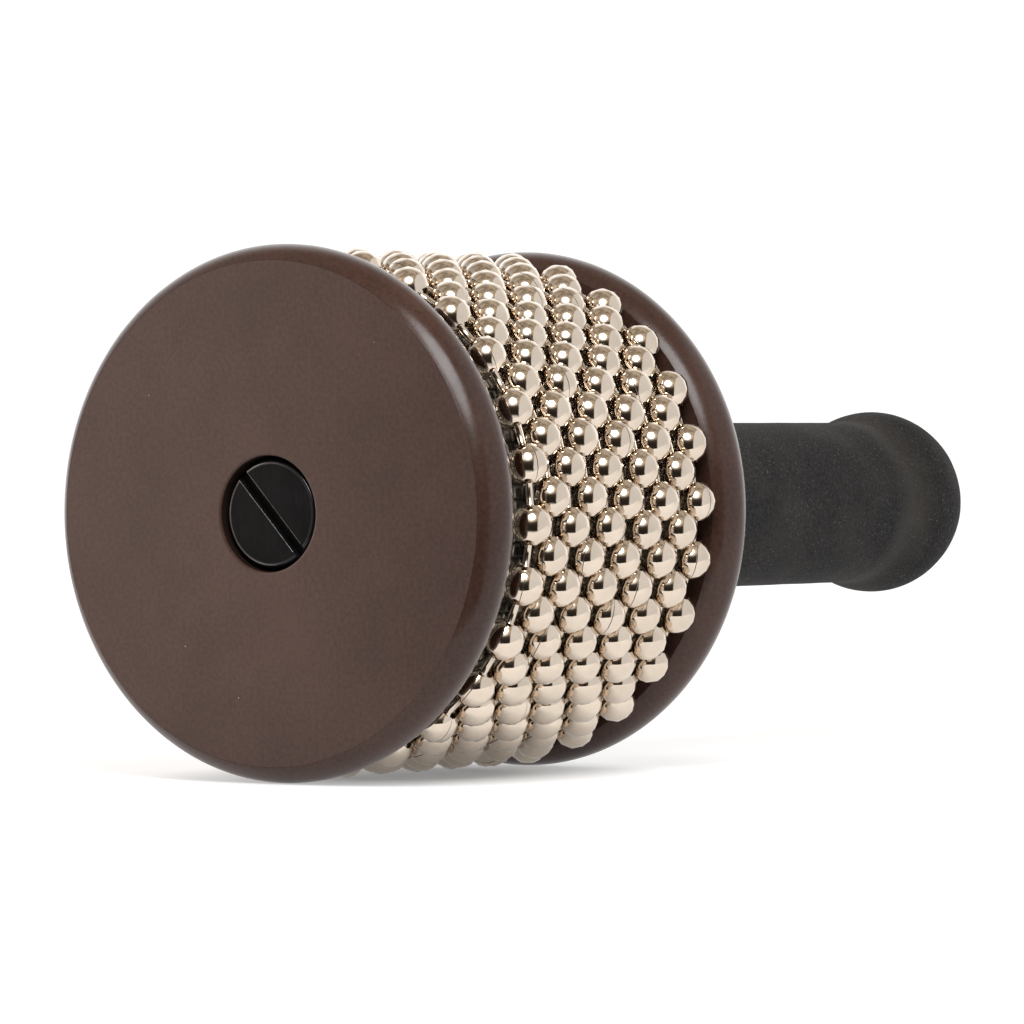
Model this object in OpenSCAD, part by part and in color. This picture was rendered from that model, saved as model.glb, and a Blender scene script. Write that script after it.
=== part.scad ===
// Cabasa: a hand percussion instrument. Loops of steel ball chain lie round a
// drum between two painted wooden discs and turn against its embossed sleeve.
// The drum axis runs along X, the handle points to +X, and the instrument lies
// on the rims of its two discs at Z = 0.

/* [Discs] */
// Diameter of each wooden disc over its rounded rim
disc_d = 85; // [70:1:100]
// Thickness of each disc
disc_t = 9; // [7:0.5:12]
// How far the rounded rim swells past the edge of the flat face
rim_crown = 2.6; // [1.5:0.1:3.4]

/* [Bead chains] */
// Diameter of one hollow steel bead
bead_d = 6.6; // [6.3:0.1:6.9]
// Wall of the bead's shell
bead_wall = 0.3; // [0.25:0.01:0.4]
// Diameter of the hole at each pole of a bead
bead_hole_d = 2.3; // [2.25:0.05:2.35]
// Centre to centre distance of neighbouring beads, before whole beads are fitted
bead_pitch = 9.3; // [9.2:0.1:11.2]
// Least gap between a bead and its neighbours in the next loop
bead_gap = 0.33; // [0.3:0.01:0.8]
// Turn of each loop on the one behind it, which the resting chains settle into
loop_twist = 0.25; // [0:0.05:0.4]
// Diameter of the link bar between two beads
link_d = 1.3; // [1.1:0.05:1.35]
// Diameter of the round head on each end of a link
link_head_d = 2.5; // [2.45:0.05:2.55]
// Play of a link's head behind the bead wall
link_play = 0.5; // [0.45:0.01:0.6]
// Gap that keeps the beads inside the rims of the discs
rim_margin = 0.3; // [0.25:0.05:1]

/* [Drum] */
// Free space between the first loop and the front disc
front_gap = 4.2; // [1:0.05:6]
// Free space between the last loop and the back disc
back_gap = 0.3; // [0.3:0.05:2]
// Gap between the beads and the sleeve that they rub on
sleeve_gap = 0.4; // [0.3:0.05:0.8]
// Thickness of the embossed steel sleeve
sleeve_t = 0.5; // [0.3:0.05:1]
// Width of the sleeve's open butt seam
seam_w = 0.8; // [0.4:0.1:2]

/* [Clamp bolt] */
// Diameter of the bolt's slotted head
head_d = 17.2; // [14:0.1:20]
// Thickness of the head
head_t = 3.2; // [2.8:0.1:4.2]
// Radius of the head's rounded edge
head_round = 0.9; // [0.5:0.05:1.2]
// How far the head lies below the face of the front disc
head_recess = 0.9; // [0.3:0.1:2]
// Radial gap between the head and its recess in the disc
head_clear = 0.55; // [0.3:0.05:1]
// Width of the screwdriver slot
slot_w = 1.9; // [1.2:0.1:2.4]
// Depth of the screwdriver slot
slot_depth = 1.5; // [1:0.1:2]
// Turn of the slot from the vertical
slot_turn = 137; // [0:1:180]
// Diameter of the bolt's shank
shank_d = 6; // [5:0.5:7]
// Radial gap round the shank in the wood
shank_clear = 0.35; // [0.2:0.05:0.8]

/* [Handle] */
// Diameter of the wooden handle core
dowel_d = 20; // [17:0.5:22]
// Depth of the socket for the handle core in the back disc
socket_depth = 4; // [2:0.5:5]
// Diameter of the threaded insert in the handle core
insert_d = 10; // [9:0.5:12]
// Length of the threaded insert
insert_l = 15; // [12:1:20]
// Length of the foam grip
grip_l = 121; // [105:1:135]
// Diameter of the straight part of the grip
grip_d = 28.4; // [26:0.1:31]
// Diameter of the ball on the end of the grip
ball_d = 32.2; // [32:0.1:36]
// Distance from the centre of the ball to the tip of the grip
ball_to_tip = 14.6; // [13.5:0.1:16]
// Foam between the end of the handle core and the tip of the grip
tip_wall = 13; // [10:0.5:18]

/* [Hidden] */
$fn = 96;
// Gap between glued or pushed-together round surfaces
fit_gap = 0.05;
// How far a cut runs past the material that it leaves
overrun = 1;
// Loops of chain on the drum, one pair of nodes each
loops = 10;
// Angle of the first bead of the last loop, from straight down
first_bead_turn = 4.7;
// Radius of the grip's flatter end cap, as a share of the ball's radius
cap_radius_share = 1.15;

disc_r = disc_d / 2;
axis_h = disc_r;
face_r = disc_r - rim_crown;
rim_arc_r = (disc_t * disc_t / 4 + rim_crown * rim_crown) / (2 * rim_crown);

bead_r = bead_d / 2;
bead_inner_r = bead_r - bead_wall;
hole_r = bead_hole_d / 2;
link_head_r = link_head_d / 2;
ring_r = disc_r - rim_margin - bead_r;
beads = floor(180 / asin(bead_pitch / (2 * ring_r)));
bead_step = 360 / beads;
chord = 2 * ring_r * sin(bead_step / 2);
near_bead = bead_d + bead_gap;
// Along the loops, the nearest bead of the next loop is half a chord away, less the twist
near_side = chord / 2 - ring_r * sin(loop_twist);
loop_step = sqrt(near_bead * near_bead - near_side * near_side);
// Where a link's head lies, from the centre of its bead
hole_depth = sqrt(bead_inner_r * bead_inner_r - hole_r * hole_r);
head_sink = sqrt(link_head_r * link_head_r - hole_r * hole_r);
head_seat = hole_depth - head_sink - link_play;
link_l = chord - 2 * head_seat;

drum_l = front_gap + bead_d + (loops - 1) * loop_step + back_gap;
sleeve_r = ring_r - bead_r - sleeve_gap;
core_r = sleeve_r - sleeve_t - fit_gap;
total_l = 2 * disc_t + drum_l + grip_l;
front_x = -total_l / 2;
drum_x = front_x + disc_t;
back_x = drum_x + drum_l;
grip_x = back_x + disc_t;
tip_x = grip_x + grip_l;
first_loop_x = drum_x + front_gap + bead_r;

head_r = head_d / 2;
recess_r = head_r + head_clear;
recess_depth = head_recess + head_t;
shank_r = shank_d / 2;
shank_hole_r = shank_r + shank_clear;
dowel_r = dowel_d / 2;
dowel_x = grip_x - socket_depth;
dowel_end_x = tip_x - tip_wall;
insert_r = insert_d / 2;
shank_end_x = dowel_x + insert_l;
ball_r = ball_d / 2;
ball_x = tip_x - ball_to_tip;
cap_r = ball_r * cap_radius_share;
cap_x = tip_x - cap_r;

// Stands a shape that was drawn along Z on the drum axis, from x onwards
module on_axis(x) {
    translate([x, 0, axis_h]) rotate([0, 90, 0]) children();
}

// Plain bar or bore on the drum axis between two places
module bar(x0, x1, r) {
    on_axis(x0) cylinder(h = x1 - x0, r = r);
}

// Half outline of a disc: flat faces and a rim that swells in one arc
module disc_outline() {
    square([face_r, disc_t]);
    intersection() {
        translate([disc_r - rim_arc_r, disc_t / 2]) circle(r = rim_arc_r);
        square([disc_r, disc_t]);
    }
}

module disc_blank(x) {
    on_axis(x) rotate_extrude() disc_outline();
}

module front_disc() {
    color([0.36, 0.28, 0.26]) difference() {
        disc_blank(front_x);
        bar(front_x - overrun, front_x + recess_depth, recess_r);
        bar(front_x, drum_x + overrun, shank_hole_r);
    }
}

module back_disc() {
    color([0.36, 0.28, 0.26]) difference() {
        disc_blank(back_x);
        bar(back_x - overrun, grip_x, shank_hole_r);
        bar(dowel_x, grip_x + overrun, dowel_r + fit_gap);
    }
}

module core_drum() {
    color([0.78, 0.64, 0.45]) difference() {
        bar(drum_x, back_x, core_r);
        bar(drum_x - overrun, back_x + overrun, shank_hole_r);
    }
}

// Rolled sheet round the core, open along one butt seam underneath
module steel_sleeve() {
    color([0.62, 0.62, 0.63]) difference() {
        bar(drum_x + fit_gap, back_x - fit_gap, sleeve_r);
        bar(drum_x - overrun, back_x + overrun, sleeve_r - sleeve_t);
        translate([drum_x - overrun, -seam_w / 2, axis_h - sleeve_r - overrun])
            cube([drum_l + 2 * overrun, seam_w, sleeve_t + 2 * overrun]);
    }
}

// Half outline of the bolt's head, seen from its top at zero
module head_outline() {
    square([head_r - head_round, head_t]);
    translate([0, head_round]) square([head_r, head_t - head_round]);
    translate([head_r - head_round, head_round]) circle(r = head_round);
}

module clamp_bolt() {
    head_x = front_x + head_recess;
    color([0.1, 0.1, 0.11]) difference() {
        union() {
            on_axis(head_x) rotate_extrude() head_outline();
            bar(head_x, shank_end_x, shank_r);
        }
        translate([head_x, 0, axis_h]) rotate([slot_turn, 0, 0])
            translate([-overrun, -slot_w / 2, -head_r - overrun])
                cube([slot_depth + overrun, slot_w, head_d + 2 * overrun]);
    }
}

module handle_core() {
    color([0.8, 0.67, 0.48]) difference() {
        bar(dowel_x, dowel_end_x, dowel_r);
        bar(dowel_x - overrun, dowel_x + insert_l + overrun, insert_r + fit_gap);
    }
}

module thread_insert() {
    color([0.72, 0.62, 0.35]) difference() {
        bar(dowel_x, dowel_x + insert_l, insert_r);
        bar(dowel_x - overrun, dowel_x + insert_l + overrun, shank_r + fit_gap);
    }
}

// Foam tube with a closed, swollen end over the handle core
module foam_grip() {
    color([0.16, 0.16, 0.16]) difference() {
        union() {
            bar(grip_x, ball_x, grip_d / 2);
            intersection() {
                on_axis(ball_x) sphere(r = ball_r);
                on_axis(cap_x) sphere(r = cap_r);
            }
        }
        bar(grip_x - overrun, dowel_end_x, dowel_r + fit_gap);
    }
}

// One hollow bead whose holes lie along Y
module bead() {
    difference() {
        sphere(r = bead_r);
        sphere(r = bead_inner_r);
        rotate([90, 0, 0]) cylinder(h = bead_d, r = hole_r, center = true);
    }
}

// One link along Y: a bar with a head that is trapped in the bead at each end
module link() {
    rotate([90, 0, 0]) cylinder(h = link_l, r = link_d / 2, center = true);
    for (side = [-1, 1]) {
        translate([0, side * link_l / 2, 0]) sphere(r = link_head_r);
    }
}

// Repeats a shape round loop number i, half a step on in every other loop
module round_loop(i, radius, lead) {
    turn = first_bead_turn + ((loops - i) % 2) * bead_step / 2 - (loops - i) * loop_twist + lead;
    on_axis(first_loop_x + (i - 1) * loop_step) {
        for (k = [0 : beads - 1]) {
            rotate([0, 0, turn + k * bead_step]) translate([radius, 0, 0]) children();
        }
    }
}

module chain_beads(i) {
    color([0.8, 0.76, 0.7]) round_loop(i, ring_r, 0) bead();
}

module chain_links(i) {
    color([0.74, 0.71, 0.66]) round_loop(i, ring_r * cos(bead_step / 2), bead_step / 2) link();
}

front_disc();
back_disc();
core_drum();
steel_sleeve();
clamp_bolt();
handle_core();
thread_insert();
foam_grip();
chain_beads(1);  // chain_beads_01
chain_beads(2);  // chain_beads_02
chain_beads(3);  // chain_beads_03
chain_beads(4);  // chain_beads_04
chain_beads(5);  // chain_beads_05
chain_beads(6);  // chain_beads_06
chain_beads(7);  // chain_beads_07
chain_beads(8);  // chain_beads_08
chain_beads(9);  // chain_beads_09
chain_beads(10);  // chain_beads_10
chain_links(1);  // chain_links_01
chain_links(2);  // chain_links_02
chain_links(3);  // chain_links_03
chain_links(4);  // chain_links_04
chain_links(5);  // chain_links_05
chain_links(6);  // chain_links_06
chain_links(7);  // chain_links_07
chain_links(8);  // chain_links_08
chain_links(9);  // chain_links_09
chain_links(10);  // chain_links_10
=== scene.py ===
"""Looks of a cabasa, dressed over its packed model: painted discs, nickel ball chains, an embossed
sleeve, a black bolt and a foam grip, lying on a pale floor."""

import math
import random

import bmesh
import bpy
from mathutils import Matrix, Vector


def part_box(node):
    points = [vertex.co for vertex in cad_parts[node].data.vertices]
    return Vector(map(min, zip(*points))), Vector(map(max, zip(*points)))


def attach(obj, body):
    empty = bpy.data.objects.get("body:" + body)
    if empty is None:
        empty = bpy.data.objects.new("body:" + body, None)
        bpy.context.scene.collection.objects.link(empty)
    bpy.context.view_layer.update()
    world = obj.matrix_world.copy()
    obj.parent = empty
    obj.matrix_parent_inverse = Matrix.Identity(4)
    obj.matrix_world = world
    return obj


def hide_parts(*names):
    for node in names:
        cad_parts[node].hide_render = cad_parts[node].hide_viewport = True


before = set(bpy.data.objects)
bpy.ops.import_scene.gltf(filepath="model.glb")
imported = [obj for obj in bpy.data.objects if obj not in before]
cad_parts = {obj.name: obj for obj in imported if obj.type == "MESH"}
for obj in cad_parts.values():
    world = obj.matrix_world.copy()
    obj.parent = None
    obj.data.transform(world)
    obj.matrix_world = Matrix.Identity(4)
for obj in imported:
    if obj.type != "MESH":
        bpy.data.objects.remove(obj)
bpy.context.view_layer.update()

bl_info = {
    "name": "Cabasa",
    "version": (1, 0, 0),
    "blender": (4, 5, 0),
    "location": "View3D > Sidebar > Cabasa",
    "description": "Models the visible pieces of a cabasa over its packed frame",
    "category": "Object",
}

LOOPS = [f"{i:02d}" for i in range(1, 11)]
DISC_LO, DISC_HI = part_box("front_disc")
BACK_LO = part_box("back_disc")[0]
SLEEVE_LO, SLEEVE_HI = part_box("steel_sleeve")
BOLT_LO, BOLT_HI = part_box("clamp_bolt")
CORE_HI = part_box("handle_core")[1]
GRIP_LO, GRIP_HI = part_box("foam_grip")
AXIS_H = (DISC_LO.z + DISC_HI.z) / 2
LOOP_X = {i: sum(c.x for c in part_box(f"chain_beads_{i}")) / 2 for i in LOOPS}
BEAD_R = (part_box("chain_beads_01")[1].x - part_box("chain_beads_01")[0].x) / 2
MM = 0.001
# width of the camera's sensor in millimetres; only the ratio of the lens to it counts
SENSOR = 36
# where the lights stand, in parts to the right, up and back towards the camera
KEY_FROM = (-0.02, 0.64, 0.77)
LAMPS_FROM = ((-0.63, 0.62, 0.47), (0.36, 0.66, 0.66))


def length(name, about, default):
    """A size in metres"""
    return bpy.props.FloatProperty(
        name=name, description=about, default=default, precision=5, unit="LENGTH"
    )


def angle(name, about, default):
    """A turn, kept in radians and given in degrees"""
    return bpy.props.FloatProperty(
        name=name, description=about, default=math.radians(default), subtype="ANGLE"
    )


def share(name, about, default):
    """A plain number"""
    return bpy.props.FloatProperty(name=name, description=about, default=default)


def colour(name, about, default):
    """A linear colour"""
    return bpy.props.FloatVectorProperty(
        name=name, description=about, default=default, subtype="COLOR", size=3, min=0, max=1
    )


class CabasaDiscs(bpy.types.PropertyGroup):
    """Sizes of the two discs"""

    crown: length("Crown", "How far the rounded rim swells past the flat face", 2.6 * MM)
    recess: length("Recess", "Radius of the recess for the bolt's head", 9.15 * MM)
    recess_deep: length("Recess depth", "Depth of that recess", 4.1 * MM)
    bore: length("Bore", "Radius of the bolt's hole", 3.35 * MM)
    socket: length("Socket", "Radius of the handle's socket in the back disc", 10.05 * MM)
    socket_deep: length("Socket depth", "Depth of that socket", 4 * MM)
    edge: length("Edge", "Rounding of the painted edges", 0.3 * MM)
    groove: length("Groove", "Depth of the fine line round the flat face", 0.03 * MM)


class CabasaChains(bpy.types.PropertyGroup):
    """Sizes of the ball chains"""

    beads: bpy.props.IntProperty(name="Beads", description="Beads in one loop", default=26)
    ring: length("Ring", "Radius of a loop through its beads", 38.9 * MM)
    first_turn: angle("First turn", "Place of loop 10's first bead, from straight down", 4.7)
    twist: angle("Twist", "Turn of each loop on the one behind it", 0.25)
    seam: share("Seam", "Width of a rolled bead's butt seam, as a share of its girth", 0.009)
    hole_deep: length("Hole depth", "How deep a bead's hole looks", 0.5 * MM)
    bar: length("Bar", "Radius of a link's bar", 0.65 * MM)
    head: length("Head", "Radius of a link's head", 1.25 * MM)
    link: length("Link", "Distance between the two heads of a link", 5.815 * MM)
    slack: length("Slack", "How far a bead strays from its true place", 0.1 * MM)
    stray: length("Stray", "How far a bead slides along its loop", 0.19 * MM)


class CabasaSleeve(bpy.types.PropertyGroup):
    """Sizes of the embossed sleeve"""

    around: bpy.props.IntProperty(name="Around", description="Bosses round the sleeve", default=96)
    along: bpy.props.IntProperty(name="Along", description="Bosses along the sleeve", default=25)
    boss: length("Boss", "Height of a boss", 0.25 * MM)
    bevel: length("Bevel", "Width of a boss's slope", 0.45 * MM)
    sheet: length("Sheet", "Thickness of the steel", 0.25 * MM)
    slit: length("Slit", "Width of the butt seam", 0.8 * MM)


class CabasaBolt(bpy.types.PropertyGroup):
    """Sizes of the clamp bolt"""

    head: length("Head", "Radius of the head", 8.6 * MM)
    head_thick: length("Head thickness", "Thickness of the head", 3.2 * MM)
    rounding: length("Rounding", "Radius of the head's edge", 0.9 * MM)
    slot: length("Slot", "Width of the screwdriver slot", 1.9 * MM)
    slot_deep: length("Slot depth", "Depth of the slot", 1.5 * MM)
    slot_turn: angle("Slot turn", "Turn of the slot from upright", 137)
    shank: length("Shank", "Radius of the shank", 3 * MM)
    edge: length("Edge", "Width of the broken edges of the slot", 0.11 * MM)


class CabasaGrip(bpy.types.PropertyGroup):
    """Sizes of the foam grip"""

    radius: length("Radius", "Radius of the straight part", 14.2 * MM)
    to_tip: length("To tip", "From the centre of the ball to the tip", 14.6 * MM)
    cap: length("Cap", "Radius of the flatter tip", 18.515 * MM)
    bore: length("Bore", "Radius of the bore", 10.05 * MM)
    rounding: length("Rounding", "Rounding of the end at the disc", 0.8 * MM)
    fillet: length("Fillet", "Rounding where the ball begins", 1.2 * MM)
    dents: length("Dents", "Depth of the soft unevenness of the foam", 0.12 * MM)


class CabasaFinishes(bpy.types.PropertyGroup):
    """Colours of the finishes"""

    paint: colour("Paint", "Brown paint of the discs", (0.0435, 0.0215, 0.016))
    nickel: colour("Nickel", "Bright nickel plate of the beads", (0.70, 0.60, 0.50))
    links: colour("Links", "Nickel plate of the links", (0.66, 0.58, 0.49))
    sleeve: colour("Sleeve", "Steel of the sleeve", (0.42, 0.39, 0.35))
    black: colour("Black", "Black of the bolt", (0.004, 0.004, 0.0042))
    foam: colour("Foam", "Black of the foam", (0.0138, 0.013, 0.0134))
    wood: colour("Wood", "Bare wood of the core and the handle", (0.47, 0.31, 0.16))
    brass: colour("Brass", "Brass of the threaded insert", (0.75, 0.52, 0.22))


class CabasaStage(bpy.types.PropertyGroup):
    """The floor, the lights and the camera"""

    floor: colour("Floor", "Pale floor", (0.45, 0.45, 0.45))
    glow: colour("Glow", "Light that comes up through the pale floor", (0.66, 0.66, 0.66))
    # painted shadow: the share of the floor's glow that is left under the drum
    painted_shadow_share: share("Dimmed", "Share of that light that is left under the drum", 0.32)
    behind: length("Behind", "How far the floor runs on behind the cabasa", 0.9)
    in_front: length("In front", "How far the floor comes out in front of it", 0.14)
    wide: length("Wide", "Width of the floor", 2.4)
    azimuth: angle("Azimuth", "Where the camera looks, round from the handle's direction", 34.145)
    elevation: angle("Elevation", "How far the camera looks down", 0.798)
    right: length("Right", "Front disc's centre, right of the picture's centre", -38.362 * MM)
    below: length("Below", "The same centre, below the picture's centre", 0.287 * MM)
    away: length("Away", "The same centre, along the view", 1078.749 * MM)
    focal: share("Focal length", "Lens over the width of the sensor", 6870.2 / 1024)
    tent: share("Tent", "Brightness of the white tent", 0.9)
    room_dark: colour("Dark room", "Dark parts of the room beside the tent", (0.33, 0.28, 0.225))
    room_light: colour("Light room", "Light parts of that room", (0.66, 0.575, 0.47))
    opening: colour("Opening", "The tent's opening round the camera", (0.03, 0.025, 0.02))
    lamps: colour("Lamps", "Two small warm lamps up in the tent", (1.0, 0.82, 0.55))
    key: share("Key", "Power of the round key light, in watts", 1.6)
    key_across: length("Key width", "Width of the key light", 0.25)
    key_away: length("Key distance", "From the middle of the drum to the key light", 0.45)
    side: share("Side", "Power of the soft light on the front disc, in watts", 0.68)
    side_across: length("Side width", "Width of that soft light", 0.34)
    side_tint: colour("Side tint", "Colour of that soft light", (1, 0.8, 0.7))


def sizes(group):
    """The sizes or colours of one group of pieces, as they are set now"""
    return getattr(bpy.context.scene, "cabasa_" + group)


# ---------------------------------------------------------------- modelling by hand


def let_go():
    """Leaves edit mode and deselects everything"""
    if bpy.context.object and bpy.context.object.mode != "OBJECT":
        bpy.ops.object.mode_set(mode="OBJECT")
    bpy.ops.object.select_all(action="DESELECT")


def take(*objects):
    """Selects only these objects, the first one active"""
    let_go()
    for thing in objects:
        thing.select_set(True)
    bpy.context.view_layer.objects.active = objects[0]


def settle(piece):
    """Puts a piece's object at the origin, unturned, with its place in its mesh"""
    take(piece)
    bpy.ops.object.transform_apply(location=True, rotation=True, scale=True)
    return piece


def edit(piece):
    """Opens a piece in edit mode with all of it selected"""
    take(piece)
    bpy.ops.object.mode_set(mode="EDIT")
    bpy.ops.mesh.select_mode(type="VERT")
    bpy.ops.mesh.select_all(action="SELECT")


def choose(piece, kind, wanted):
    """In edit mode, selects the vertices, edges or faces whose middle passes a test"""
    bpy.ops.mesh.select_mode(type=kind)
    bpy.ops.mesh.select_all(action="DESELECT")
    mesh = bmesh.from_edit_mesh(piece.data)
    parts = {"VERT": mesh.verts, "EDGE": mesh.edges, "FACE": mesh.faces}[kind]
    for part in parts:
        corners = [part] if kind == "VERT" else part.verts
        if wanted([v.co for v in corners]):
            part.select_set(True)
    mesh.select_flush_mode()
    bmesh.update_edit_mesh(piece.data)


def close_up(near=1e-7):
    """Merges doubles, fills open ends and turns all faces outwards"""
    bpy.ops.mesh.select_mode(type="VERT")
    bpy.ops.mesh.select_all(action="SELECT")
    bpy.ops.mesh.remove_doubles(threshold=near)
    bpy.ops.mesh.fill_holes(sides=0)
    bpy.ops.mesh.select_all(action="SELECT")
    bpy.ops.mesh.normals_make_consistent(inside=False)


def smooth(piece, sharp_at):
    """Shades a piece smooth, but for edges sharper than an angle in degrees"""
    take(piece)
    bpy.ops.object.shade_smooth_by_angle(angle=math.radians(sharp_at))
    return piece


def apply_modifiers(piece):
    """Applies a piece's modifiers, the first one first"""
    take(piece)
    for modifier in list(piece.modifiers):
        bpy.ops.object.modifier_apply(modifier=modifier.name)


def remove(piece):
    """Deletes a pattern or a cutter that has done its work"""
    take(piece)
    bpy.ops.object.delete()


def turned(name, outline, sides, closed=True, begin=0):
    """Turns an outline of (place along X, radius) round the drum axis, ring by ring.

    The piece is left in edit mode."""
    let_go()
    x, r = outline[0]
    bpy.ops.mesh.primitive_circle_add(
        vertices=sides, radius=r, fill_type="NOTHING",
        location=(x, 0, AXIS_H), rotation=(begin, math.pi / 2, 0),
    )
    piece = settle(bpy.context.object)
    piece.name = piece.data.name = name
    edit(piece)
    for (x, r), (to_x, to_r) in zip(outline, outline[1:]):
        bpy.ops.mesh.extrude_region_move(TRANSFORM_OT_translate={"value": (to_x - x, 0, 0)})
        if to_r == 0:
            bpy.ops.mesh.merge(type="CENTER")
        elif to_r != r:
            bpy.ops.transform.resize(
                value=(1, to_r / r, to_r / r), center_override=(to_x, 0, AXIS_H)
            )
    if closed:
        close_up(2e-6)
    return piece


def arc(x, r, radius, start, end, steps):
    """Outline points on a circle; the angle runs from the direction of the radius towards +X"""
    turns = [math.radians(start + (end - start) * k / steps) for k in range(steps + 1)]
    return [(x + radius * math.sin(a), r + radius * math.cos(a)) for a in turns]


def copies(shape, places):
    """Copies of a shape, each with its own mesh, set at the given places"""
    made = []
    for place in places:
        take(shape)
        bpy.ops.object.duplicate(linked=False)
        bpy.context.object.matrix_world = place
        made.append(bpy.context.object)
    return made


def joined(name, parts):
    """Joins parts into one piece with a name of its own"""
    take(*parts)
    bpy.ops.object.join()
    piece = settle(parts[0])
    piece.name = piece.data.name = name
    return piece


def finished(piece, finish, body, slot, *nodes):
    """Gives a piece its material and its body, and hides the CAD nodes it stands for; slot is not
    used
    """
    piece.data.materials.clear()
    piece.data.materials.append(finish.material)
    let_go()
    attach(piece, body)
    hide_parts(*nodes)


# ---------------------------------------------------------------- finishes


class Value:
    """What a socket gives over a surface; an expression on values adds its Math nodes"""

    def __init__(self, finish, socket):
        self.finish, self.socket = finish, socket

    def worked(self, operation, first, second):
        """Adds a Math node"""
        return self.finish.node("ShaderNodeMath", {"operation": operation}, {0: first, 1: second})

    def __add__(self, other):
        return self.worked("ADD", self, other)

    def __sub__(self, other):
        return self.worked("SUBTRACT", self, other)

    def __rsub__(self, other):
        return self.worked("SUBTRACT", other, self)

    def __mul__(self, other):
        return self.worked("MULTIPLY", self, other)

    def __lt__(self, other):
        return self.worked("LESS_THAN", self, other)

    __radd__, __rmul__ = __add__, __mul__


class Finish:
    """One material: its shader's constants, and the nodes that vary it"""

    def __init__(self, name, tree=None, **constants):
        if tree is None:
            self.material = bpy.data.materials.new(name)
            self.material.use_nodes = True
            tree = self.material.node_tree
            self.shader = tree.nodes["Principled BSDF"]
            for socket, value in constants.items():
                self.set(self.shader, socket.replace("_", " "), value)
        self.tree = tree

    def set(self, node, key, value):
        """Links a value to a node's socket, or writes a number, a colour or a vector there"""
        socket = node.inputs[key]
        if isinstance(value, Value):
            self.tree.links.new(value.socket, socket)
        elif socket.type == "RGBA":
            socket.default_value = (*value[:3], 1)
        else:
            socket.default_value = value

    def node(self, kind, settings=None, inputs=None, output=0):
        """Adds a node with its settings, then the values or links of its sockets"""
        made = self.tree.nodes.new(kind)
        for key, value in (settings or {}).items():
            setattr(made, key, value)
        for key, value in (inputs or {}).items():
            self.set(made, key, value)
        return Value(self, made.outputs[output])

    def place(self, centre=(0, 0, 0), scale=(1, 1, 1)):
        """Object coordinates in metres, measured from a point, stretched per axis"""
        spot = self.node("ShaderNodeTexCoord", output=3)
        moved = [-c * s for c, s in zip(centre, scale)]
        return self.node(
            "ShaderNodeMapping", inputs={"Vector": spot, "Location": moved, "Scale": scale}
        )

    def far(self, spot):
        """How far a place is from the point that it is measured from"""
        return self.node("ShaderNodeVectorMath", {"operation": "LENGTH"}, {0: spot}, 1)

    def from_axis(self):
        """Distance from the drum axis"""
        return self.far(self.place((0, 0, AXIS_H), (0, 1, 1)))

    def one_of(self, spot, axis=0):
        """A place along X, Y or Z alone"""
        return self.node("ShaderNodeSeparateXYZ", inputs={0: spot}, output=axis)

    def facing(self, way, direction):
        """1 where a way goes in a direction, 0 square to it, -1 where it goes back"""
        return self.node(
            "ShaderNodeVectorMath", {"operation": "DOT_PRODUCT"}, {0: way, 1: direction}, 1
        )

    def noise(self, size, detail=3, rough=0.55, where=None):
        """Noise from 0 to 1 whose lumps are about size metres wide"""
        return self.node(
            "ShaderNodeTexNoise",
            inputs={
                "Vector": where or self.place(), "Scale": 1 / size,
                "Detail": detail, "Roughness": rough,
            },
        )

    def dots(self, apart, radius):
        """1 in dots of a radius, one to each cell, 0 elsewhere; both in metres"""
        spot = {"Vector": self.place(), "Scale": 1 / apart}
        return self.node("ShaderNodeTexVoronoi", inputs=spot) < radius / apart

    def between(self, value, low, high, to_low=0.0, to_high=1.0):
        """Stretches a value's range from low to high over another range, and clips it there"""
        return self.node(
            "ShaderNodeMapRange", inputs={0: value, 1: low, 2: high, 3: to_low, 4: to_high}
        )

    def blend(self, factor, first, second):
        """The first colour where the factor is 0, the second where it is 1"""
        return self.node(
            "ShaderNodeMix", {"data_type": "RGBA"}, {0: factor, 6: first, 7: second}, 2
        )

    def feed(self, socket, value):
        """Gives the material's shader what varies over the surface"""
        self.set(self.shader, socket, value)

    def bump(self, height, depth, strength=1.0):
        """Fine relief: a height from 0 to 1, and how deep that is in metres"""
        relief = {"Strength": strength, "Distance": depth, "Height": height}
        self.feed("Normal", self.node("ShaderNodeBump", inputs=relief))


def times(shade, factor):
    """A colour made lighter or darker"""
    return [min(1, c * factor) for c in shade]


def disc_paint(inside):
    """Satin brown paint over turned wood with dust specks, and painted shade that makes the bores
    nearly black
    """
    shade = tuple(sizes("finishes").paint)
    made = Finish("disc_paint", Roughness=0.3, Specular_IOR_Level=0.28)
    broad, fine = made.noise(18 * MM, 2), made.noise(0.7 * MM, 2)
    mottled = made.blend(
        made.between(broad * 0.4 + fine * 0.6, 0.35, 0.65), times(shade, 0.75), times(shade, 1.25)
    )
    dust = made.dots(7 * MM, 0.11 * MM) + made.dots(3.1 * MM, 0.035 * MM)
    # painted shade: the recess and the bore are darkened nearly to black, and made metallic so
    # that they show little sheen
    bore_painted_shade = made.between(made.from_axis(), inside + 0.05 * MM, inside - 0.02 * MM)
    dusted = made.blend(dust, mottled, (0.3, 0.26, 0.24))
    made.feed("Base Color", made.blend(bore_painted_shade, dusted, times(shade, 0.1)))
    worn = made.between(made.noise(5 * MM), 0.3, 0.7, to_low=0.19, to_high=0.27)
    made.feed("Roughness", worn + bore_painted_shade * 0.6)
    made.feed("Metallic", bore_painted_shade * 0.8)
    orange_peel = made.noise(0.55 * MM, 2) * 0.7 + made.noise(2.5 * MM, 1) * 0.6
    made.bump(orange_peel, depth=0.016 * MM)
    return made


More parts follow.
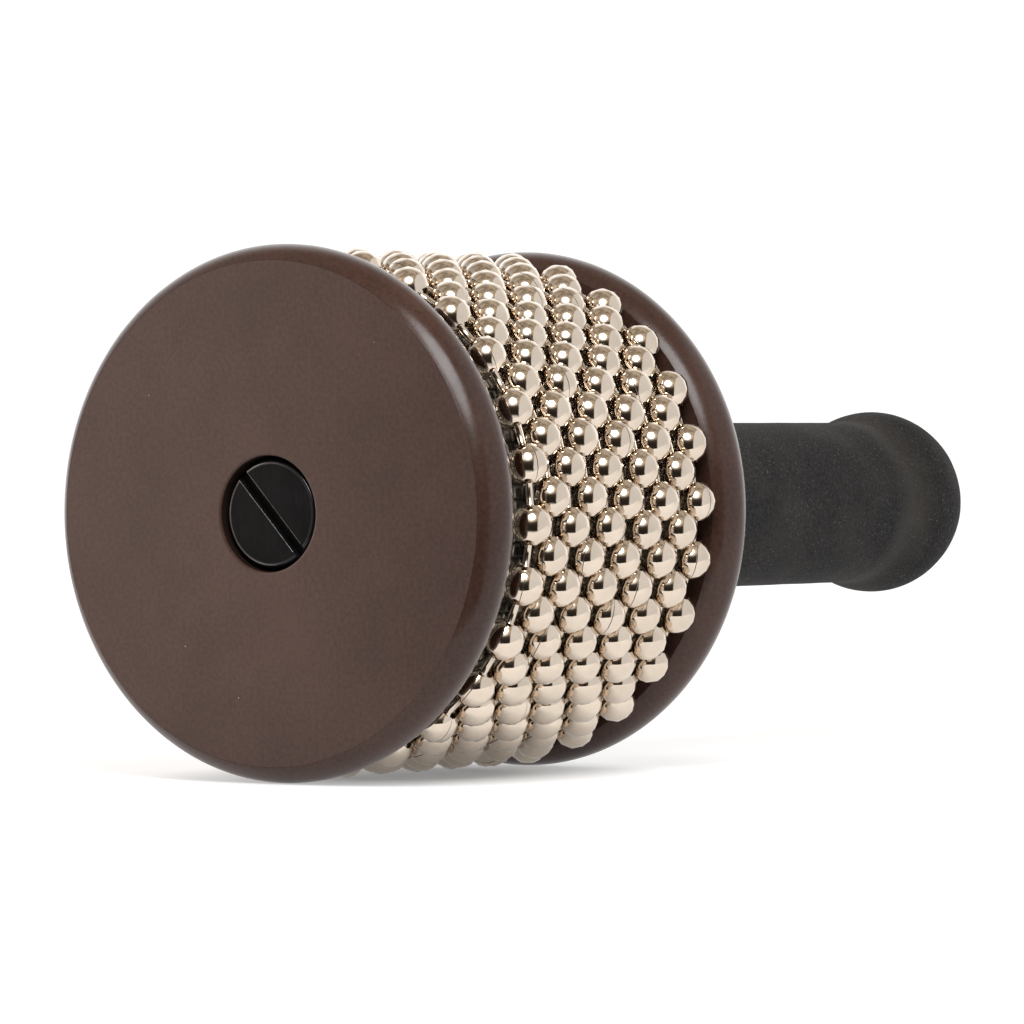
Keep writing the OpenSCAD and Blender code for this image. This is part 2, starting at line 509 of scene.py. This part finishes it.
def nickel_plate(name, shade, rough, seam=0):
    """Bright nickel: an uneven mirror with faint rubbing marks, and a rolled bead's seam"""
    made = Finish(name, Metallic=1.0, Roughness=rough)
    patches = made.between(made.noise(4.5 * MM, 3), 0.35, 0.7)
    bright = made.blend(patches, shade, times(shade, 0.86))
    rubbed = made.noise(1.2 * MM, 4, 0.65, made.place(scale=(1, 1, 4)))
    dull = made.between(rubbed, 0.3, 0.75, to_low=rough, to_high=rough * 2.2)
    if seam:
        off = made.one_of(made.node("ShaderNodeUVMap", {"uv_map": "UVMap"})) - 0.5
        line = made.between(off * off, (seam / 2) ** 2, (seam / 4) ** 2)
        bright = made.blend(line, bright, times(shade, 0.12))
        dull = dull + line * 0.35
        rubbed = rubbed - line * 3
    made.feed("Base Color", bright)
    made.feed("Roughness", dull)
    made.bump(rubbed, depth=0.004 * MM, strength=0.6)
    return made


def sleeve_steel():
    """Embossed steel, dull in its grooves"""
    shade = tuple(sizes("finishes").sleeve)
    made = Finish("sleeve_steel", Metallic=1.0, Roughness=0.3)
    radius = SLEEVE_HI.z - AXIS_H
    top = made.between(made.from_axis(), radius - 0.22 * MM, radius - 0.02 * MM)
    worn = made.between(made.noise(3 * MM), 0.35, 0.65, to_low=0.75)
    made.feed("Base Color", made.blend(top * worn, times(shade, 0.3), shade))
    scuffed = made.between(made.noise(0.8 * MM), 0.3, 0.7, to_low=0.2, to_high=0.42)
    made.feed("Roughness", scuffed + (1 - top) * 0.25)
    made.bump(made.noise(0.4 * MM), depth=0.01 * MM)
    return made


def bolt_wear_and_highlight(rim):
    """The bolt's broken edges: the black is rubbed off the slot's edges, and off one side of the
    rim's edge only, as a painted highlight where light catches it
    """
    made = Finish("bolt_wear_and_highlight", Metallic=1.0, Roughness=0.35)
    # painted highlight: bare metal on the rim's edge on one side only, where light catches that
    # edge
    painted_highlight_side = made.between(made.one_of(made.place(), axis=1), -1.5 * MM, 1 * MM)
    slot = made.between(made.from_axis(), rim - 0.3 * MM, rim - 0.5 * MM)
    patchy = made.between(made.noise(5 * MM, 3), 0.38, 0.52, to_low=0.3)
    bare_and_highlight = patchy * made.between(painted_highlight_side + slot, 0, 1)
    made.feed("Base Color", made.blend(bare_and_highlight, (0.02, 0.02, 0.02), (0.15, 0.145, 0.14)))
    made.feed("Roughness", made.between(bare_and_highlight, 0, 1, to_low=0.5, to_high=0.3))
    made.bump(made.noise(0.3 * MM), depth=0.006 * MM)
    return made


def bolt_black(top, rim):
    """Black oxide: a satin, clouded head with grinding marks, and a glossier rounded rim"""
    shade = tuple(sizes("finishes").black)
    made = Finish("bolt_black", Roughness=0.5, Specular_IOR_Level=0.06)
    ground = made.noise(0.5 * MM, 4, 0.7, made.place(scale=(1, 1, 0.12)))
    cloudy = made.noise(4 * MM, 3)
    sunk = made.one_of(made.place((top, 0, 0)))
    rubbed = made.between(made.from_axis(), rim + 0.05 * MM, rim + 0.25 * MM) * (sunk < 0.8 * MM)
    flat = 1 - rubbed
    clouded = made.blend(made.between(ground * cloudy, 0.2, 0.45), shade, times(shade, 2.0))
    made.feed("Base Color", made.blend(rubbed, clouded, (0.045, 0.045, 0.048)))
    made.feed("Metallic", rubbed * 0.9)
    glossy = made.between(cloudy, 0.3, 0.7, to_low=0.07, to_high=0.11)
    made.feed("Roughness", glossy + flat * 0.4)
    made.bump(ground * flat, depth=0.012 * MM)
    return made


def grip_foam(fold):
    """Foam rubber: matte black, finely celled, with pale flecks and with dust in its fold"""
    shade = tuple(sizes("finishes").foam)
    made = Finish(
        "grip_foam", Roughness=0.9, Specular_IOR_Level=0.12, Sheen_Weight=0.03, Sheen_Roughness=0.5
    )
    cells = made.noise(0.45 * MM, 3, 0.6)
    flecks = made.dots(0.95 * MM, 0.13 * MM) * made.between(made.noise(6 * MM), 0.4, 0.5)
    off = made.one_of(made.place((fold, 0, 0)))
    in_fold = made.between(off * off, (6 * MM) ** 2, 0, to_high=0.4)
    dusty = made.between(made.noise(11 * MM, 4), 0.42, 0.7) * 0.35 + in_fold
    ground = made.blend(made.between(cells, 0.38, 0.64), times(shade, 0.5), times(shade, 1.7))
    tinted = made.blend(dusty, ground, (0.046, 0.042, 0.038))
    made.feed("Base Color", made.blend(flecks * 0.85, tinted, times(shade, 7)))
    made.feed("Roughness", made.between(cells, 0.3, 0.7, to_low=0.96, to_high=0.82))
    made.bump(cells + made.noise(1.4 * MM, 2) * 0.5, depth=0.12 * MM)
    return made


def bare_wood(name):
    """Plain hardwood, turned along X: rings, long pores and a soft tone"""
    shade = tuple(sizes("finishes").wood)
    made = Finish(name, Roughness=0.6)
    along = made.place((0, 4 * MM, AXIS_H + 11 * MM), (0.08, 1, 1))
    rings = made.node(
        "ShaderNodeTexWave", {"wave_type": "RINGS", "rings_direction": "X"},
        {"Vector": along, "Scale": 55, "Distortion": 2.2, "Detail": 2, "Detail Scale": 60},
        1,
    )
    pores = made.between(made.noise(0.5 * MM, 3, 0.6, along), 0.3, 0.62)
    base = made.blend(rings * 0.6, shade, times(shade, 0.62))
    made.feed("Base Color", made.blend(pores, times(shade, 0.5), base))
    made.feed("Roughness", made.between(pores, 0, 1, to_low=0.72, to_high=0.5))
    made.bump(pores, depth=0.03 * MM)
    return made


def insert_brass():
    """Machined brass with turning marks along X"""
    made = Finish("insert_brass", Metallic=1.0, Roughness=0.3)
    marks = made.noise(0.25 * MM, 3, 0.6, made.place(scale=(1, 0.1, 0.1)))
    shade = tuple(sizes("finishes").brass)
    made.feed("Base Color", made.blend(marks, times(shade, 0.8), shade))
    made.feed("Roughness", made.between(marks, 0.3, 0.7, to_low=0.22, to_high=0.4))
    made.bump(marks, depth=0.02 * MM)
    return made


def floor_paper():
    """Matte pale studio paper, glowing as if lit from below, with a painted shadow under the drum
    where that glow is dimmed
    """
    s = sizes("stage")
    shade, glow = tuple(s.floor), tuple(s.glow)
    made = Finish("floor_paper", Roughness=0.9, Specular_IOR_Level=0.1, Emission_Strength=1)
    middle = (SLEEVE_LO.x + SLEEVE_HI.x) / 2
    half_long, half_wide = 45 * MM, 35 * MM
    off = made.far(made.place((middle, 0, 0), (1 / half_long, 1 / half_wide, 0)))
    # painted shadow: the floor's glow is dimmed in an oval round the sleeve's middle, under the
    # drum
    under = made.between(off, 1.1, 0.4)
    made.feed("Emission Color", made.blend(under, glow, times(glow, s.painted_shadow_share)))
    made.feed("Base Color", made.blend(made.noise(0.4), times(shade, 0.985), shade))
    made.bump(made.noise(1.5 * MM, 2), depth=0.02 * MM)
    return made


# ---------------------------------------------------------------- pieces


def rim(front, thick, crown, groove):
    """Outline of a disc's rim: an arc, with the fine line that it leaves round both flat faces"""
    outer, back = DISC_HI.z - AXIS_H, front + thick
    flat = outer - crown
    radius = (thick * thick / 4 + crown * crown) / (2 * crown)
    reach = math.degrees(math.asin(thick / 2 / radius))
    return (
        [(front, flat - 2.2 * groove), (front + groove, flat - groove)]
        + arc(front + thick / 2, outer - radius, radius, -reach, reach, 40)
        + [(back - groove, flat - groove), (back, flat - 2.2 * groove)]
    )


class CABASA_OT_discs(bpy.types.Operator):
    """Turn the two painted discs"""

    bl_idname = "cabasa.discs"
    bl_label = "Painted discs"

    def execute(self, context):
        s = sizes("discs")
        paint = disc_paint(s.recess)
        thick, e = DISC_HI.x - DISC_LO.x, s.edge
        front, back = DISC_LO.x, BACK_LO.x
        floor = front + s.recess_deep
        seat = back + thick - s.socket_deep
        # each outline begins and ends on its flat face, this far out from the hole in it
        begin = 4 * MM
        outlines = {
            "front_disc": (
                [(front, s.recess + begin)]
                + rim(front, thick, s.crown, s.groove)
                + [(front + thick, s.bore), (floor, s.bore), (floor, s.recess - e)]
                + [(floor - e, s.recess), (front + e, s.recess)]
                + [(front + 0.3 * e, s.recess + 0.3 * e), (front, s.recess + e)]
                + [(front, s.recess + 1.6 * e), (front, s.recess + begin)]
            ),
            "back_disc": (
                [(back, s.bore + begin)]
                + rim(back, thick, s.crown, s.groove)
                + [(back + thick, s.socket + e), (back + thick - e, s.socket), (seat, s.socket)]
                + [(seat, s.bore), (back, s.bore), (back, s.bore + begin)]
            ),
        }
        for node, outline in outlines.items():
            piece = turned(f"{node}_painted", outline, 192)
            bpy.ops.object.mode_set(mode="OBJECT")
            finished(smooth(piece, 28), paint, "root", "disc_paint", node)
        return {"FINISHED"}


class CABASA_OT_sleeve(bpy.types.Operator):
    """Roll and emboss the steel sleeve"""

    bl_idname = "cabasa.sleeve"
    bl_label = "Embossed sleeve"

    def execute(self, context):
        s = sizes("sleeve")
        x0, x1 = SLEEVE_LO.x, SLEEVE_HI.x
        low = SLEEVE_HI.z - AXIS_H - s.boss
        outline = [(x0 + (x1 - x0) * k / s.along, low) for k in range(s.along + 1)]
        piece = turned("sleeve_embossed", outline, s.around, False, math.pi / s.around)
        # the lowest row of faces goes, and the edges beside it close in to the seam's width
        step = math.tau * low / s.around

        def lowest(corners):
            """Whether these corners lie in that row"""
            return all(abs(c.y) < 0.7 * step and c.z < AXIS_H for c in corners)

        choose(piece, "FACE", lowest)
        bpy.ops.mesh.delete(type="FACE")
        for side in (-1, 1):
            choose(piece, "VERT", lambda c: lowest(c) and side * c[0].y > 0)
            bpy.ops.transform.translate(value=(0, side * (s.slit - step) / 2, 0))
        bpy.ops.mesh.select_all(action="SELECT")
        bpy.ops.mesh.normals_make_consistent(inside=False)
        bpy.ops.mesh.select_mode(type="FACE")
        bpy.ops.mesh.select_all(action="SELECT")
        bpy.ops.mesh.inset(thickness=s.bevel, depth=s.boss, use_individual=True)
        bpy.ops.object.mode_set(mode="OBJECT")
        sheet = piece.modifiers.new("Sheet", "SOLIDIFY")
        sheet.thickness, sheet.offset = s.sheet, -1
        apply_modifiers(piece)
        finished(smooth(piece, 12), sleeve_steel(), "root", "sleeve_steel", "steel_sleeve")
        return {"FINISHED"}


class CABASA_OT_bolt(bpy.types.Operator):
    """Turn the clamp bolt and cut its slot"""

    bl_idname = "cabasa.bolt"
    bl_label = "Clamp bolt"

    def execute(self, context):
        s = sizes("bolt")
        top, end, e = BOLT_LO.x, BOLT_HI.x, s.rounding
        under = top + s.head_thick
        # the head's rounding meets its top at an angle; chamfers below, in the neck and at the tip
        turn, below, neck, tip = 64, 0.3 * MM, 0.4 * MM, 0.6 * MM
        outline = (
            arc(top + e * math.sin(math.radians(turn)), s.head - e, e, -turn, 0, 6)
            + [(under - below, s.head), (under, s.head - below), (under, s.shank + neck)]
            + [(under + neck, s.shank), (end - tip, s.shank), (end, s.shank - tip)]
        )
        piece = turned("clamp_bolt_black", outline, 96)
        let_go()
        bpy.ops.mesh.primitive_cube_add(
            size=1, location=(top, 0, AXIS_H), rotation=(s.slot_turn, 0, 0)
        )
        cutter = bpy.context.object
        cutter.scale = (2 * s.slot_deep, s.slot, 3 * s.head)
        settle(cutter)
        cut = piece.modifiers.new("Slot", "BOOLEAN")
        cut.object, cut.solver = cutter, "EXACT"
        apply_modifiers(piece)
        remove(cutter)
        edit(piece)
        # the edges in the plane of the head's top
        choose(piece, "EDGE", lambda c: all(v.x < top + 0.02 * MM for v in c))
        bpy.ops.transform.edge_bevelweight(value=1)
        bpy.ops.object.mode_set(mode="OBJECT")
        broken = piece.modifiers.new("Edges", "BEVEL")
        broken.width, broken.segments, broken.material = s.edge, 2, 1
        broken.limit_method = "WEIGHT"
        finished(piece, bolt_black(top, s.head - s.rounding), "root", "black_bolt", "clamp_bolt")
        piece.data.materials.append(bolt_wear_and_highlight(s.head - s.rounding).material)
        apply_modifiers(piece)
        smooth(piece, 35)
        return {"FINISHED"}


class CABASA_OT_grip(bpy.types.Operator):
    """Shape the foam grip with its swollen end"""

    bl_idname = "cabasa.grip"
    bl_label = "Foam grip"

    def execute(self, context):
        s = sizes("grip")
        ball = GRIP_HI.z - AXIS_H
        x0, tip, blind = GRIP_LO.x, GRIP_HI.x, CORE_HI.x
        middle, e = tip - s.to_tip, s.rounding
        # angle from the axis, on the disc's side, at which the straight tube would meet the ball
        joint = math.degrees(math.asin(s.radius / ball))
        cap_middle = tip - s.cap
        # the cap's circle takes over from the ball where the two spheres meet
        apart = middle - cap_middle
        meet = (s.cap**2 - ball**2 - apart**2) / (2 * apart)
        turn = math.degrees(math.asin(meet / ball))
        cap_turn = math.degrees(math.asin((meet + apart) / s.cap))
        straight = middle - ball * math.cos(math.radians(joint)) - s.fillet
        rings = 30
        tube = [(x0 + e + (straight - x0 - e) * k / rings, s.radius) for k in range(rings + 1)]
        # the ball begins a little past that angle, so that the fillet has room
        bulb = arc(middle, 0, ball, joint - 90 + 4, turn, 26)
        bend = (straight + s.fillet * 0.62, s.radius + s.fillet * 0.07)
        outline = (
            [(blind, s.bore), (x0, s.bore)]
            + arc(x0 + e, s.radius - e, e, -90, 0, 4)[:-1]
            + tube + [bend] + bulb
            + arc(cap_middle, 0, s.cap, cap_turn, 87, 12)[1:]
            + [(tip, 0)]
        )
        piece = turned("foam_grip_soft", outline, 128)
        bpy.ops.object.mode_set(mode="OBJECT")
        soft = bpy.data.textures.new("foam_dents", "CLOUDS")
        soft.noise_scale, soft.noise_depth = 7 * MM, 2
        dents = piece.modifiers.new("Dents", "DISPLACE")
        dents.texture, dents.strength, dents.mid_level = soft, s.dents, 0.6
        apply_modifiers(piece)
        finished(smooth(piece, 50), grip_foam(straight), "root", "grip_foam", "foam_grip")
        return {"FINISHED"}


def around(i, lead):
    """Turn of a bead of loop i from straight down; lead is the bead's number"""
    s = sizes("chains")
    behind = len(LOOPS) - int(i)
    step = math.tau / s.beads
    return s.first_turn + (behind % 2) * step / 2 - behind * s.twist + lead * step


def bead_places(i):
    """Where the beads of loop i lie, each a little off its true place"""
    s = sizes("chains")
    draw = random.Random(int(i))
    places = []
    for k in range(s.beads):
        r = s.ring + draw.uniform(-s.slack, 0.4 * s.slack)
        x = LOOP_X[i] + draw.uniform(-s.slack, s.slack)
        turn = around(i, k) + draw.uniform(-s.stray, s.stray) / r
        places.append(Vector((x, r * math.sin(turn), AXIS_H - r * math.cos(turn))))
    return places


def along_chain(place, ahead, spin):
    """A place on the chain, its local Y along the chain, spun about it"""
    across = Vector((1, 0, 0))
    y = ahead.normalized()
    z = across.cross(y).normalized()
    x = y.cross(z)
    axes = Matrix((x, y, z)).transposed().to_4x4()
    return Matrix.Translation(place) @ axes @ Matrix.Rotation(spin, 4, "Y")


class CABASA_OT_beads(bpy.types.Operator):
    """Roll one bead and lay it round the drum in ten loops"""

    bl_idname = "cabasa.beads"
    bl_label = "Bead loops"

    def execute(self, context):
        s = sizes("chains")
        let_go()
        # its corners stand out of the round ball and its flats lie inside, for the same outline
        corner = BEAD_R * 1.018
        bpy.ops.mesh.primitive_uv_sphere_add(segments=12, ring_count=8, radius=corner)
        bead = bpy.context.object
        edit(bead)
        choose(bead, "VERT", lambda c: abs(c[0].z) > 0.999 * corner)
        bpy.ops.mesh.dissolve_verts()
        # only the two faces left at the poles have more than four corners
        choose(bead, "FACE", lambda c: len(c) > 4)
        bpy.ops.mesh.inset(thickness=0.08 * MM, depth=-s.hole_deep, use_individual=True)
        bpy.ops.object.mode_set(mode="OBJECT")
        bead.rotation_euler = (math.pi / 2, 0, 0)
        smooth(settle(bead), 50)
        plate = nickel_plate("bead_nickel", tuple(sizes("finishes").nickel), 0.05, s.seam)
        for i in LOOPS:
            draw = random.Random(100 + int(i))
            spots = bead_places(i)
            places = [
                along_chain(
                    spot, spots[(k + 1) % s.beads] - spots[k - 1], draw.uniform(0, math.tau)
                )
                for k, spot in enumerate(spots)
            ]
            loop = joined(f"bead_loop_{i}", copies(bead, places))
            finished(loop, plate, "bead_chains", "bead_steel", f"chain_beads_{i}")
        remove(bead)
        return {"FINISHED"}


class CABASA_OT_links(bpy.types.Operator):
    """Head one link and hang it between all neighbouring beads"""

    bl_idname = "cabasa.links"
    bl_label = "Link loops"

    def execute(self, context):
        s = sizes("chains")
        let_go()
        bpy.ops.mesh.primitive_cylinder_add(
            vertices=8, radius=s.bar, depth=s.link - 2 * s.head, end_fill_type="NGON"
        )
        link = bpy.context.object
        edit(link)
        for side in (-1, 1):
            choose(link, "FACE", lambda c: len(c) > 4 and c[0].z * side > 0)
            was = s.bar / s.head
            # each step of a head: how far on, and how wide there, as shares of its radius
            for on, wide in ((0.35, 0.92), (1.25, 0.75)):
                bpy.ops.mesh.extrude_region_move(
                    TRANSFORM_OT_translate={"value": (0, 0, side * s.head * on)}
                )
                bpy.ops.transform.resize(
                    value=(wide / was, wide / was, 1), center_override=(0, 0, 0)
                )
                was = wide
        bpy.ops.object.mode_set(mode="OBJECT")
        link.rotation_euler = (math.pi / 2, 0, 0)
        smooth(settle(link), 50)
        plate = nickel_plate("link_nickel", tuple(sizes("finishes").links), 0.1)
        for i in LOOPS:
            spots = bead_places(i)
            ahead = spots[1:] + spots[:1]
            places = [
                along_chain((a + b) / 2, b - a, math.pi / 8) for a, b in zip(spots, ahead)
            ]
            loop = joined(f"link_loop_{i}", copies(link, places))
            finished(loop, plate, "bead_chains", "link_steel", f"chain_links_{i}")
        remove(link)
        return {"FINISHED"}


class CABASA_OT_inner(bpy.types.Operator):
    """Give the inner CAD pieces their finishes"""

    bl_idname = "cabasa.inner"
    bl_label = "Inner pieces"

    def execute(self, context):
        wood, brass = bare_wood("turned_wood"), insert_brass()
        for node, made in (("core_drum", wood), ("handle_core", wood), ("thread_insert", brass)):
            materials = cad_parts[node].data.materials
            materials.clear()
            materials.append(made.material)
        return {"FINISHED"}


def aimed(light, target):
    """Points a light from where it is to a place"""
    light.rotation_euler = (Vector(target) - light.location).to_track_quat("-Z", "Y").to_euler()


def soft_light(name, place, target, across, power, shape="DISK", tint=(1, 1, 1)):
    """A soft lamp that the camera doesn't see, aimed at a place"""
    let_go()
    bpy.ops.object.light_add(type="AREA", location=place)
    lamp = bpy.context.object
    lamp.name = name
    lamp.data.shape, lamp.data.size, lamp.data.energy = shape, across, power
    lamp.data.color = tint
    lamp.visible_camera = False
    aimed(lamp, target)


def view_axes(azimuth, elevation):
    """Unit vectors along the camera's view, and to the right and down in its picture"""
    level = math.cos(elevation)
    look = Vector((math.cos(azimuth) * level, math.sin(azimuth) * level, -math.sin(elevation)))
    right = Vector((math.sin(azimuth), -math.cos(azimuth), 0))
    return look, right, look.cross(right)


def toward(axes, sideways, up, back):
    """A direction, given in parts to the right, up and back towards the camera"""
    look, right, down = axes
    return (sideways * right - up * down - back * look).normalized()


def lay_floor(s):
    """The pale floor, turned to the camera; it ends below the camera's picture"""
    let_go()
    on = (s.behind - s.in_front) / 2
    bpy.ops.mesh.primitive_grid_add(
        x_subdivisions=8, y_subdivisions=8, size=1, rotation=(0, 0, s.azimuth),
        location=(math.cos(s.azimuth) * on, math.sin(s.azimuth) * on, -0.05 * MM),
    )
    floor = bpy.context.object
    floor.name = "floor"
    floor.scale = (s.in_front + s.behind, s.wide, 1)
    settle(floor).data.materials.append(floor_paper().material)


def pitch_tent(s, axes):
    """The world: a white tent, with an opening round the camera and a room beside it.

    The camera itself sees plain white; only the pieces see the tent."""

    def white(bright):
        """White, as a share of the tent's brightness"""
        return (s.tent * bright,) * 3

    look, right, down = axes
    world = bpy.data.worlds.new("tent")
    bpy.context.scene.world = world
    world.use_nodes = True
    tent = Finish("tent", world.node_tree)
    way = tent.node("ShaderNodeTexCoord", output=0)
    sideways, up, ahead = (tent.facing(way, axis) for axis in (right, -down, -look))
    patchy = tent.node("ShaderNodeTexNoise", inputs={"Vector": way, "Scale": 2.6, "Detail": 2})
    room = tent.blend(tent.between(patchy, 0.4, 0.62), tuple(s.room_dark), tuple(s.room_light))
    room = tent.blend(tent.between(sideways, -0.5, -0.75), room, white(0.7))
    wall = tent.blend(tent.between(up, 0.5, -0.1), white(1.08), white(1.05))
    walls = tent.blend(tent.between(sideways, 0.55, 0.6), room, wall)
    below = tent.blend(tent.between(up, -0.1, -0.3), walls, white(1.1))
    behind = tent.blend(tent.between(ahead, -0.4, -0.8), below, white(1.7))
    opening = (
        tent.between(sideways, -0.55, -0.3) * tent.between(sideways, 0.52, 0.58, 1, 0)
        * tent.between(up, 0.24, 0.44, 1, 0) * tent.between(up, -0.68, -0.5)
        * tent.between(ahead, 0.0, 0.1) * tent.between(up, 0.45, -0.1, 0.8, 1)
    )
    light = tent.blend(opening, behind, tuple(s.opening))
    for lamp in LAMPS_FROM:
        lit = tent.between(tent.facing(way, toward(axes, *lamp)), 0.975, 0.992) * 0.8
        light = tent.blend(lit, light, tuple(s.lamps))
    halo = tent.between(tent.facing(way, toward(axes, *KEY_FROM)), 0.86, 0.974)
    light = tent.blend(halo * halo, light, (1.6, 1.57, 1.53))
    seen = tent.node("ShaderNodeLightPath", output=0)
    shown = tent.blend(seen, light, (1.1, 1.1, 1.1))
    tent.set(world.node_tree.nodes["Background"], "Color", shown)


class CABASA_OT_stage(bpy.types.Operator):
    """Lay the floor, hang the lights and set up the camera"""

    bl_idname = "cabasa.stage"
    bl_label = "Floor, lights and camera"

    def execute(self, context):
        s = sizes("stage")
        axes = look, right, down = view_axes(s.azimuth, s.elevation)
        lay_floor(s)
        pitch_tent(s, axes)
        face = Vector((DISC_LO.x, 0, AXIS_H))
        let_go()
        bpy.ops.object.camera_add(location=face - s.right * right - s.below * down - s.away * look)
        camera = bpy.context.object
        camera.name = "camera"
        camera.rotation_euler = look.to_track_quat("-Z", "Y").to_euler()
        camera.data.sensor_width = SENSOR
        camera.data.lens = SENSOR * s.focal
        camera.data.clip_start, camera.data.clip_end = 0.01, 50
        context.scene.camera = camera
        middle = Vector((-0.01, -0.02, AXIS_H))
        above = middle + s.key_away * toward(axes, *KEY_FROM)
        soft_light("key_light", above, middle, s.key_across, s.key)
        # where the flat face, as a mirror, would show it to the camera, and a little further
        mirrored, across = Vector((-look.x, look.y, 0.1)), Vector((look.y, look.x, 0))
        beside = face + 0.36 * mirrored + 0.15 * across
        soft_light(
            "side_light", beside, face, s.side_across, s.side, "SQUARE", tuple(s.side_tint)
        )
        context.scene.view_settings.view_transform = "Standard"
        return {"FINISHED"}


class CABASA_PT_panel(bpy.types.Panel):
    """Lists what the cabasa is made of"""

    bl_label = "Cabasa"
    bl_idname = "CABASA_PT_panel"
    bl_space_type = "VIEW_3D"
    bl_region_type = "UI"
    bl_category = "Cabasa"

    def draw(self, context):
        for operator in OPERATORS:
            self.layout.operator(operator.bl_idname)
        for name, group in GROUPS.items():
            box = self.layout.box()
            box.label(text=group.__doc__)
            for key in group.__annotations__:
                box.prop(getattr(context.scene, "cabasa_" + name), key)


GROUPS = {
    "discs": CabasaDiscs, "chains": CabasaChains, "sleeve": CabasaSleeve, "bolt": CabasaBolt,
    "grip": CabasaGrip, "finishes": CabasaFinishes, "stage": CabasaStage,
}
OPERATORS = (
    CABASA_OT_stage, CABASA_OT_discs, CABASA_OT_sleeve, CABASA_OT_bolt, CABASA_OT_grip,
    CABASA_OT_beads, CABASA_OT_links, CABASA_OT_inner,
)


def register():
    for kind in (*GROUPS.values(), *OPERATORS, CABASA_PT_panel):
        bpy.utils.register_class(kind)
    for name, group in GROUPS.items():
        setattr(bpy.types.Scene, "cabasa_" + name, bpy.props.PointerProperty(type=group))


def unregister():
    for name in GROUPS:
        delattr(bpy.types.Scene, "cabasa_" + name)
    for kind in reversed((*GROUPS.values(), *OPERATORS, CABASA_PT_panel)):
        bpy.utils.unregister_class(kind)


def main():
    register()
    for operator in OPERATORS:
        getattr(bpy.ops.cabasa, operator.bl_idname.split(".")[1])()
    let_go()


if __name__ == "__main__":
    main()
